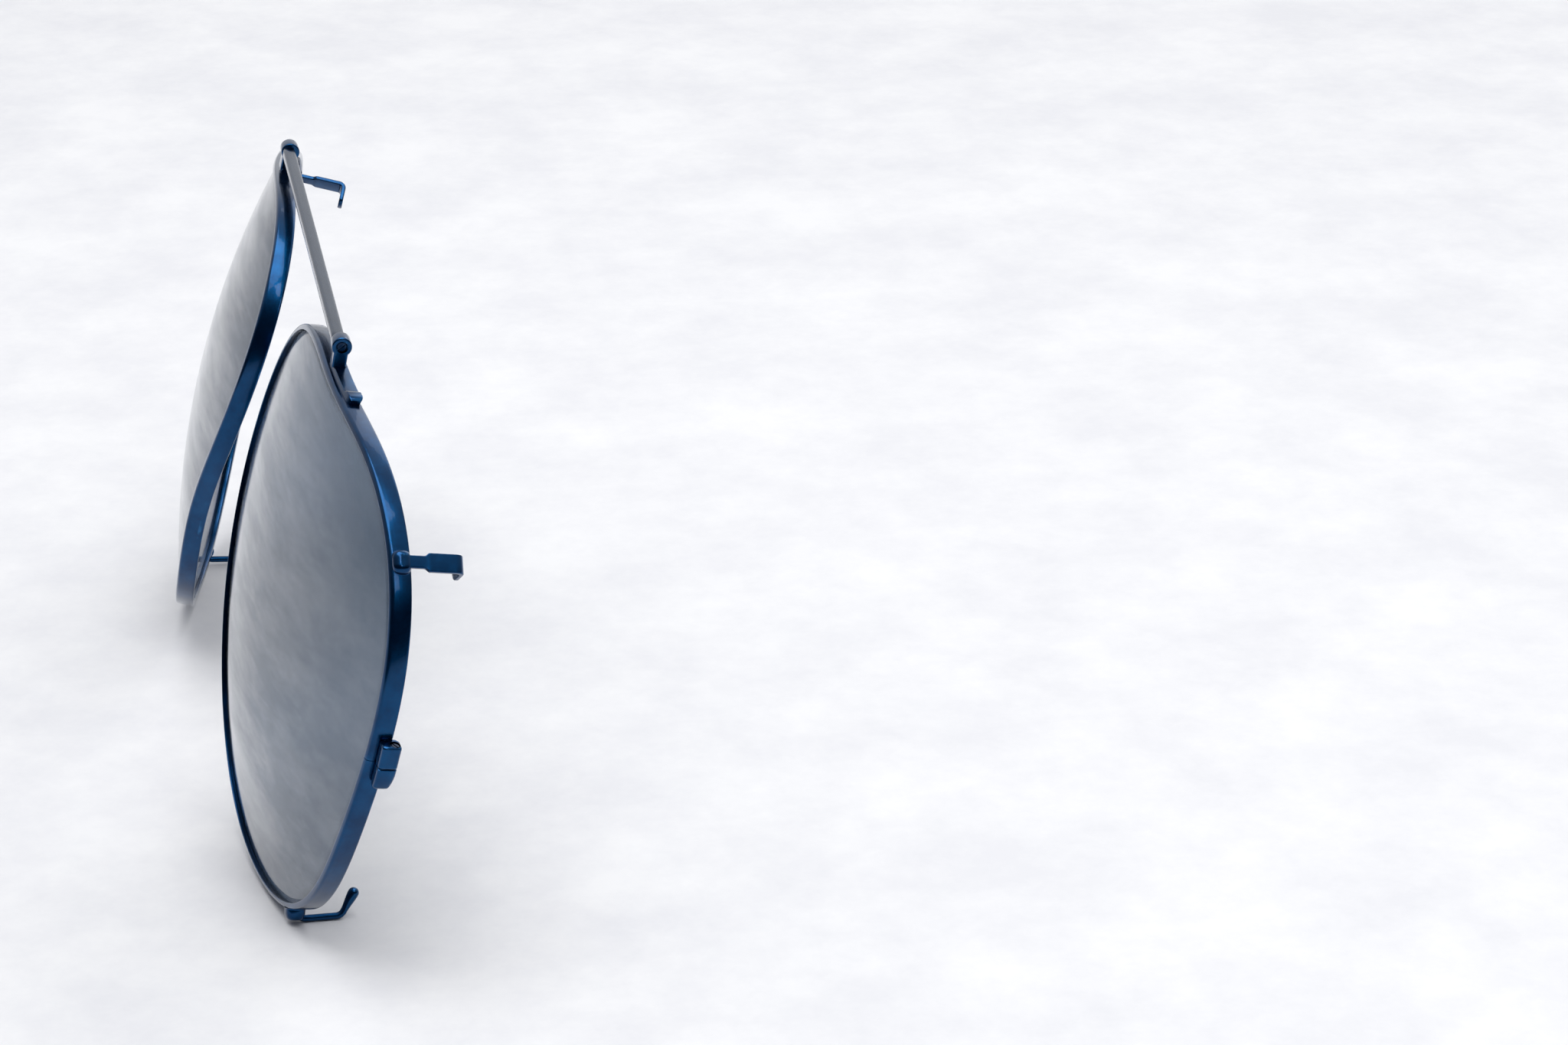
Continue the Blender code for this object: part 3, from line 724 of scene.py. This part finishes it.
def threaded(start, direction, radius, length):
    """A screw's shank: a cylinder whose surface rises and falls along a helix."""
    first = direction.orthogonal().normalized()
    second = direction.cross(first)
    depth = radius * THREAD_DEPTH_SHARE
    steps = round(length / THREAD_PITCH * THREAD_STEPS_PER_TURN)
    rings = []
    for step in range(steps + 1):
        distance = length * step / steps
        ring = []
        for i in range(THREAD_SIDES):
            turn = math.tau * i / THREAD_SIDES
            phase = (distance / THREAD_PITCH - turn / math.tau) % 1.0
            reach = radius - depth * abs(2 * phase - 1)
            spoke = first * math.cos(turn) + second * math.sin(turn)
            ring.append(start + direction * distance + spoke * reach)
        rings.append(ring)
    return loft(rings)


def slotted_screw(top, direction, head_radius, head_height, shank_radius, length):
    """A slotted screw, from the top of its head along its axis."""
    edge = min(head_height * HEAD_EDGE_HEIGHT_SHARE, head_radius * HEAD_EDGE_RADIUS_SHARE)
    profile = [(0, head_radius * HEAD_TOP_SHARE)]
    profile += quarter(0, head_radius, edge, falling=False)
    profile += quarter(head_height - HEAD_UNDER_ROUND, head_radius, HEAD_UNDER_ROUND)
    head = turned(top, direction, profile)
    shank = threaded(
        top + direction * (head_height - SHANK_OVERLAP), direction,
        shank_radius, length - head_height + SHANK_OVERLAP,
    )
    along = direction.orthogonal().normalized()
    across = direction.cross(along)
    half = head_radius * SLOT_HALF_SHARE
    depth = head_height * SLOT_DEPTH_SHARE
    reach = head_radius * SLOT_REACH_SHARE
    corners = [(-half, -depth), (half, -depth), (half, depth), (-half, depth)]
    slot = loft([
        [top + along * end + across * a + direction * b for a, b in corners]
        for end in (-reach, reach)
    ])
    return shaped(head, joined=[shank], cut=[slot])


# Flip hinge and bar

def leaf_strip(side):
    """The strip along the rim's top, which swells into a low stud at its end."""
    seat = Seat(side, KNUCKLE_ANGLE)
    low = RIM_DEPTH - LEAF_INSET - LEAF_WIDTH
    high = RIM_DEPTH - LEAF_INSET
    start = -KNUCKLE_LENGTH / 2
    stud_start = LEAF_REACH - LEAF_STUD_LENGTH
    rings = []
    for station in range(LEAF_STATIONS + 1):
        reach = start + (LEAF_REACH - start) * station / LEAF_STATIONS
        rise = min(max((reach - stud_start) / LEAF_STUD_RAMP, 0.0), 1.0)
        stud = LEAF_STUD_HEIGHT * rise * rise * (3 - 2 * rise)
        end_gap = min(reach - start, LEAF_REACH - reach)
        share = min(end_gap / LEAF_TIP_LENGTH, 1.0)
        tip = math.sqrt(max(1 - (1 - share) ** 2, LEAF_TIP_LEAST))
        height = LEAF_TIP_HEIGHT + (1 - LEAF_TIP_HEIGHT) * tip
        top = SEAM + (LEAF_THICKNESS + stud) * height
        draw_in = LEAF_TIP_DRAW_IN * (1 - tip)
        point = outline_at(seat.length - reach)
        outward = outward_at(seat.length - reach)
        section = rounded_box(-SINK, top, low + draw_in, high - draw_in, LEAF_ROUND)
        rings.append([on_dome(side, point + outward * out, depth) for out, depth in section])
    return loft(rings)


def knuckle_block(side):
    """The round head that turns on the hinge screw, on its post."""
    centre = hinge_centre(side)
    across = Vector((side, 0, 0))
    half_post = KNUCKLE_POST_WIDTH / 2
    foot = -KNUCKLE_RADIUS - KNUCKLE_POST_HEIGHT
    half = KNUCKLE_LENGTH / 2
    drawn = [(-half + x, inset) for x, inset in end_rounding(KNUCKLE_ROUND)]
    drawn += [(half - x, inset) for x, inset in reversed(end_rounding(KNUCKLE_ROUND))]
    rings = []
    for end, inset in drawn:
        radius = KNUCKLE_RADIUS - FACET_ROOM - inset
        under = math.acos((half_post - inset) / radius)
        sweep = math.pi + 2 * under
        turns = [-under + sweep * i / KNUCKLE_STEPS for i in range(KNUCKLE_STEPS + 1)]
        section = [(radius * math.cos(turn), radius * math.sin(turn)) for turn in turns]
        section += [(-half_post + inset, foot), (half_post - inset, foot)]
        rings.append([centre + across * end + Vector((0, y, z)) for y, z in section])
    return loft(rings)


def end_rounding(radius, steps=5):
    """(distance from the end, inset) pairs of a rounded end."""
    turns = [math.pi / 2 * step / steps for step in range(steps + 1)]
    return [(radius * (1 - math.sin(t)), radius * (1 - math.cos(t))) for t in reversed(turns)]


def add_hinge_leaf(side, prefix, body):
    """Leaf and knuckle in one, bored for the screw and recessed for its head."""
    across = Vector((side, 0, 0))
    recess = PIN_HEAD_HEIGHT + PIN_HEAD_RECESS
    bore = PIN_RADIUS + SCREW_PLAY
    wide = PIN_HEAD_RADIUS + SCREW_PLAY
    outer = KNUCKLE_LENGTH / 2
    profile = [(-outer - SEAM, bore), (outer - recess, bore)]
    profile += [(outer - recess, wide), (outer + SEAM, wide)]
    hole = turned(hinge_centre(side), across, profile)
    shape = shaped(leaf_strip(side), joined=[knuckle_block(side)], cut=[hole])
    add_piece(prefix + "hinge_leaf", shape, body, BLUE_METAL)


def add_hinge_screw(side, prefix):
    """The screw on which a lens flips."""
    inwards = Vector((-side, 0, 0))
    top = hinge_centre(side) - inwards * (KNUCKLE_LENGTH / 2 - PIN_HEAD_RECESS)
    length = KNUCKLE_LENGTH - PIN_HEAD_RECESS + HINGE_END_PLAY + PIN_GRIP
    head_height = PIN_HEAD_HEIGHT - SCREW_PLAY
    shape = slotted_screw(top, inwards, PIN_HEAD_RADIUS, head_height, PIN_RADIUS, length)
    add_piece(prefix + "hinge_screw", shape, "bar_body", SCREW_METAL)


def add_bar():
    """The straight rod over the nose, with softly rounded edges and ends."""
    centre = hinge_centre(1)
    end = centre.x - KNUCKLE_LENGTH / 2 - HINGE_END_PLAY
    middle = centre.y - BAR_FORWARD
    rounding = end_rounding(BAR_END_ROUND)
    plain = 2 * end - 2 * BAR_END_ROUND
    stations = [(-end + x, inset) for x, inset in rounding]
    for i in range(1, BAR_STATIONS):
        stations.append((-end + BAR_END_ROUND + plain * i / BAR_STATIONS, 0.0))
    stations += [(end - x, inset) for x, inset in reversed(rounding)]
    rings = []
    for x, inset in stations:
        section = rounded_box(
            middle - BAR_DEPTH / 2 + inset, middle + BAR_DEPTH / 2 - inset,
            centre.z - BAR_HEIGHT / 2 + inset, centre.z + BAR_HEIGHT / 2 - inset, BAR_ROUND,
        )
        rings.append([Vector((x, y, z)) for y, z in section])
    holes = []
    for side in (1, -1):
        start = Vector((side * (end + SEAM), centre.y, centre.z))
        holes.append(turned(start, Vector((-side, 0, 0)), [
            (0, PIN_RADIUS + SCREW_PLAY), (SEAM + PIN_GRIP + PIN_RADIUS, PIN_RADIUS + SCREW_PLAY),
        ]))
    add_piece("brow_bar", shaped(loft(rings), cut=holes), "bar_body", BAR_METAL)


# Closing block

def closing_point(side, along):
    """A point on the closing screw's axis, a distance along the rim from the split."""
    depth = RIM_DEPTH + CLOSING_SCREW_BEHIND
    return Seat(side, CLOSING_ANGLE).at(along, SEAM + CLOSING_THICKNESS / 2, depth)


def closing_half(side, upper):
    """One half of the closing block; the lower half slopes down to the rim at its end."""
    seat = Seat(side, CLOSING_ANGLE)
    low = RIM_DEPTH - CLOSING_AHEAD
    high = RIM_DEPTH + CLOSING_BEHIND
    top = SEAM + CLOSING_THICKNESS
    split = CLOSING_GAP / 2
    end = CLOSING_LENGTH / 2
    rings = []
    for step in range(CLOSING_STEPS + 1):
        along = split + (end - split) * step / CLOSING_STEPS
        near_split = min((along - split) / CLOSING_SPLIT_ROUND, 1.0)
        near_end = min((end - along) / CLOSING_END_ROUND, 1.0)
        inset = CLOSING_SPLIT_INSET * (1 - near_split) ** 2
        inset += CLOSING_END_INSET * (1 - math.sqrt(1 - (1 - near_end) ** 2))
        slope = 0.0
        if upper < 0:
            share = max((along - (end - CLOSING_SLOPE)) / CLOSING_SLOPE, 0.0)
            slope = share ** 2 * CLOSING_SLOPE_DROP
        section = rounded_box(
            -SINK, top - inset - slope, low + inset, high - inset - slope, CLOSING_ROUND,
        )
        rings.append([seat.at(upper * along, out, depth) for out, depth in section])
    return loft(rings)


def add_closing_block(side, prefix, body):
    """Two halves and the screw through them."""
    down = -Seat(side, CLOSING_ANGLE).along_direction()
    wide = CLOSING_HEAD_RADIUS + SCREW_PLAY
    bore = CLOSING_SCREW_RADIUS + SCREW_PLAY
    step = 2 * SEAM + CLOSING_HEAD_HEIGHT + SCREW_PLAY
    profile = [(0, wide), (step, wide), (step, bore), (CLOSING_LENGTH + 2 * SEAM, bore)]
    for upper, end_name in ((1, "upper"), (-1, "lower")):
        hole = turned(closing_point(side, CLOSING_LENGTH / 2 + SEAM), down, profile)
        half = shaped(closing_half(side, upper), cut=[hole])
        add_piece(f"{prefix}closing_block_{end_name}", half, body, BLUE_METAL)
    screw = slotted_screw(
        closing_point(side, CLOSING_LENGTH / 2 - SEAM), down,
        CLOSING_HEAD_RADIUS, CLOSING_HEAD_HEIGHT, CLOSING_SCREW_RADIUS, CLOSING_LENGTH - 2 * SEAM,
    )
    add_piece(prefix + "closing_screw", screw, body, SCREW_METAL)


# Hooks

def pad(seat, length, height, depth_low, depth_high, crown):
    """A solder pad: it swells out of the rim and is domed on top, by a crown."""
    middle = (depth_low + depth_high) / 2
    half_depth = (depth_high - depth_low) / 2
    top = SEAM + height
    profile = [(-SINK, -PAD_FOOT_FLARE)]
    for step in range(PAD_STEPS + 1):
        turn = math.pi / 2 * step / PAD_STEPS
        profile.append((top * math.sin(turn) ** PAD_SWELL, crown * (1 - math.cos(turn))))
    rings = []
    for rise, inset in profile:
        half_a = length / 2 - inset
        half_b = half_depth - inset
        corner = min(half_a, half_b) * PAD_ROUND_SHARE
        section = rounded_box(
            -half_a, half_a, middle - half_b, middle + half_b, corner, PAD_CORNER_STEPS,
        )
        rings.append([seat.at(a, rise, b) for a, b in section])
    return loft(rings)


def tab_path():
    """The tab's middle line, from inside its pad to its lip's end.

    Each station is (outwards, depth, turn, width)."""
    bend = TAB_BEND_RADIUS + TAB_THICKNESS / 2
    level = SEAM + TAB_THICKNESS / 2
    end = RIM_DEPTH + TAB_REACH
    straight_end = end - bend - TAB_THICKNESS / 2
    start = RIM_DEPTH - TAB_ROOT_OVERLAP
    neck_end = RIM_DEPTH + TAB_NECK_LENGTH
    stations = []
    for step in range(TAB_STEPS + 1):
        depth = start + (straight_end - start) * step / TAB_STEPS
        grow = min(max((depth - neck_end) / TAB_SHOULDER, 0.0), 1.0)
        width = TAB_NECK_WIDTH + (TAB_WIDTH - TAB_NECK_WIDTH) * grow * grow * (3 - 2 * grow)
        stations.append((level, depth, 0.0, width))
    for step in range(1, TAB_BEND_STEPS + 1):
        turn = math.pi / 2 * step / TAB_BEND_STEPS
        depth = straight_end + bend * math.sin(turn)
        stations.append((level - bend * (1 - math.cos(turn)), depth, turn, TAB_WIDTH))
    lip_start = level - bend
    lip_end = SEAM - TAB_LIP
    for step in range(1, TAB_LIP_STEPS + 1):
        out = lip_start + (lip_end - lip_start) * step / TAB_LIP_STEPS
        near = min((out - lip_end) / TAB_LIP_CORNER, 1.0)
        drawn_in = 1 - math.sqrt(max(1 - (1 - near) ** 2, 0.0))
        width = TAB_WIDTH - 2 * TAB_LIP_CORNER * drawn_in
        stations.append((out, end - TAB_THICKNESS / 2, math.pi / 2, width))
    return stations


def upper_tab(side):
    """The flat strip of the upper hook, with rolled edges."""
    seat = Seat(side, UPPER_HOOK_ANGLE)
    half = TAB_THICKNESS / 2
    rings = []
    for out, depth, turn, width in tab_path():
        ring = []
        for along, raised in rounded_box(-width / 2, width / 2, -half, half, TAB_ROUND):
            lift = raised * math.cos(turn)
            ring.append(seat.at(along, out + lift, depth + raised * math.sin(turn)))
        rings.append(ring)
    return loft(rings)


def lower_wire(side):
    """The lower hook's wire, from inside its pad back along the table and up to its round tip."""
    seat = Seat(side, LOWER_HOOK_ANGLE)
    height = SEAM + LOWER_ROOT_HEIGHT + WIRE_DROP - WIRE_RADIUS
    start = seat.at(0, height, RIM_DEPTH + SEAM)
    level = Vector((0, math.cos(LEAN_BACK), math.sin(LEAN_BACK)))
    inward = -seat.out_direction()
    rise = (inward - level * inward.dot(level)).normalized()
    sideways = level.cross(rise)
    stations = []
    for step in range(WIRE_ROOT_STEPS + 1):
        share = step / WIRE_ROOT_STEPS
        back = -WIRE_ROOT_OVERLAP * (1 - share)
        centre = start + level * back + rise * WIRE_ROOT_DIP * (1 - share) ** 2
        stations.append((centre, 0.0, WIRE_RADIUS))
    for step in range(WIRE_BEND_STEPS + 1):
        turn = WIRE_BEND * step / WIRE_BEND_STEPS
        lift = WIRE_BEND_RADIUS * (1 - math.cos(turn))
        forward = WIRE_RUN + WIRE_BEND_RADIUS * math.sin(turn)
        stations.append((start + level * forward + rise * lift, turn, WIRE_RADIUS))
    direction = level * math.cos(WIRE_BEND) + rise * math.sin(WIRE_BEND)
    bend_end = stations[-1][0]
    ball = bend_end + direction * (WIRE_RISE + WIRE_TIP_RADIUS)
    for step in range(1, WIRE_FLARE_STEPS):
        share = step / WIRE_FLARE_STEPS
        swell = WIRE_RADIUS + (WIRE_TIP_RADIUS - WIRE_RADIUS) * share * share * (3 - 2 * share)
        centre = bend_end + direction * WIRE_RISE * share + direction * WIRE_TIP_RADIUS * share
        stations.append((centre, WIRE_BEND, swell))
    for step in range(WIRE_TIP_STEPS):
        turn = math.pi / 2 * step / WIRE_TIP_STEPS
        centre = ball + direction * WIRE_TIP_RADIUS * math.sin(turn)
        stations.append((centre, WIRE_BEND, WIRE_TIP_RADIUS * math.cos(turn)))
    rings = []
    for centre, turn, radius in stations:
        across_wire = rise * math.cos(turn) - level * math.sin(turn)
        slim = max(radius - FACET_ROOM, WIRE_LEAST_RADIUS)
        rings.append(ring_round(centre, sideways, across_wire, slim, WIRE_SIDES))
    return loft(rings)


def add_hooks(side, prefix, body):
    """Both hooks of one lens, each in its solder pad."""
    upper = pad(
        Seat(side, UPPER_HOOK_ANGLE), UPPER_ROOT_LENGTH, UPPER_ROOT_HEIGHT,
        SEAM, RIM_DEPTH - SEAM, UPPER_ROOT_CROWN,
    )
    add_piece(prefix + "upper_hook_root", upper, body, BLUE_METAL, PAD_SHARP_ANGLE)
    add_piece(prefix + "upper_hook_tab", upper_tab(side), body, BLUE_METAL)
    lower = pad(
        Seat(side, LOWER_HOOK_ANGLE), LOWER_ROOT_LENGTH, LOWER_ROOT_HEIGHT,
        0.0, RIM_DEPTH, LOWER_ROOT_CROWN,
    )
    add_piece(prefix + "lower_hook_root", lower, body, BLUE_METAL, PAD_SHARP_ANGLE)
    add_piece(prefix + "lower_hook_wire", lower_wire(side), body, BLUE_METAL)


# Floor, light and camera

def add_floor():
    """A plain pale table top."""
    shape = bmesh.new()
    bmesh.ops.create_grid(shape, x_segments=1, y_segments=1, size=FLOOR_HALF_SIZE)
    floor = as_object("floor", shape)
    material, tree, shader = new_material("pale_table")
    mottle = noise(tree, FLOOR_MOTTLE_SCALE, FLOOR_MOTTLE_DETAIL, FLOOR_MOTTLE_ROUGHNESS)
    colour = ramp(tree, mottle, list(zip(FLOOR_MOTTLE_RANGE, (FLOOR_GREYER, FLOOR_PALER))))
    tree.links.new(colour, shader.inputs["Base Color"])
    gloss = noise(tree, FLOOR_GLOSS_SCALE, FLOOR_GLOSS_DETAIL)
    tree.links.new(spread(tree, gloss, *FLOOR_ROUGHNESS), shader.inputs["Roughness"])
    shader.inputs["Specular IOR Level"].default_value = FLOOR_SPECULAR
    floor.data.materials.append(material)


def add_area(name, at, towards, size, power):
    """A square soft light."""
    light = bpy.data.lights.new(name, "AREA")
    light.shape = "SQUARE"
    light.size = size
    light.energy = power
    holder = bpy.data.objects.new(name, light)
    holder.location = at
    holder.rotation_euler = (Vector(towards) - Vector(at)).to_track_quat("-Z", "Y").to_euler()
    bpy.context.collection.objects.link(holder)


def add_world():
    """Soft studio surroundings: bright overhead and beyond the table, dark behind the camera."""
    world = bpy.data.worlds.new("studio")
    bpy.context.scene.world = world
    world.use_nodes = True
    tree = world.node_tree
    background = tree.nodes["Background"]
    coordinates = tree.nodes.new("ShaderNodeTexCoord")
    facing = tree.nodes.new("ShaderNodeVectorMath")
    facing.operation = "DOT_PRODUCT"
    facing.inputs[1].default_value = WORLD_FACING
    tree.links.new(coordinates.outputs["Generated"], facing.inputs[0])
    colour = ramp(tree, spread(tree, facing.outputs["Value"], *WORLD_SPREAD), WORLD_COLOURS)
    tree.links.new(colour, background.inputs["Color"])
    background.inputs["Strength"].default_value = 1.0


def add_camera():
    """The camera, on the wearer's left side and a little above the lenses."""
    camera = bpy.data.cameras.new("camera")
    camera.lens = CAMERA_LENS
    camera.clip_start = CAMERA_CLIP_START
    holder = bpy.data.objects.new("camera", camera)
    holder.location = CAMERA_AT
    look = Vector((
        -math.sin(CAMERA_AZIMUTH) * math.cos(CAMERA_ELEVATION),
        math.cos(CAMERA_AZIMUTH) * math.cos(CAMERA_ELEVATION),
        -math.sin(CAMERA_ELEVATION),
    ))
    holder.rotation_euler = look.to_track_quat("-Z", "Y").to_euler()
    bpy.context.collection.objects.link(holder)
    bpy.context.scene.camera = holder


add_floor()
add_world()
for light in LIGHTS:
    add_area(*light)
add_camera()
bpy.context.scene.view_settings.view_transform = "Standard"

add_bar()
for side, prefix in SIDES:
    body = prefix + "lens_body"
    add_hinge_screw(side, prefix)
    add_hinge_leaf(side, prefix, body)
    add_rim(side, prefix, body)
    add_lens(side, prefix, body)
    add_closing_block(side, prefix, body)
    add_hooks(side, prefix, body)
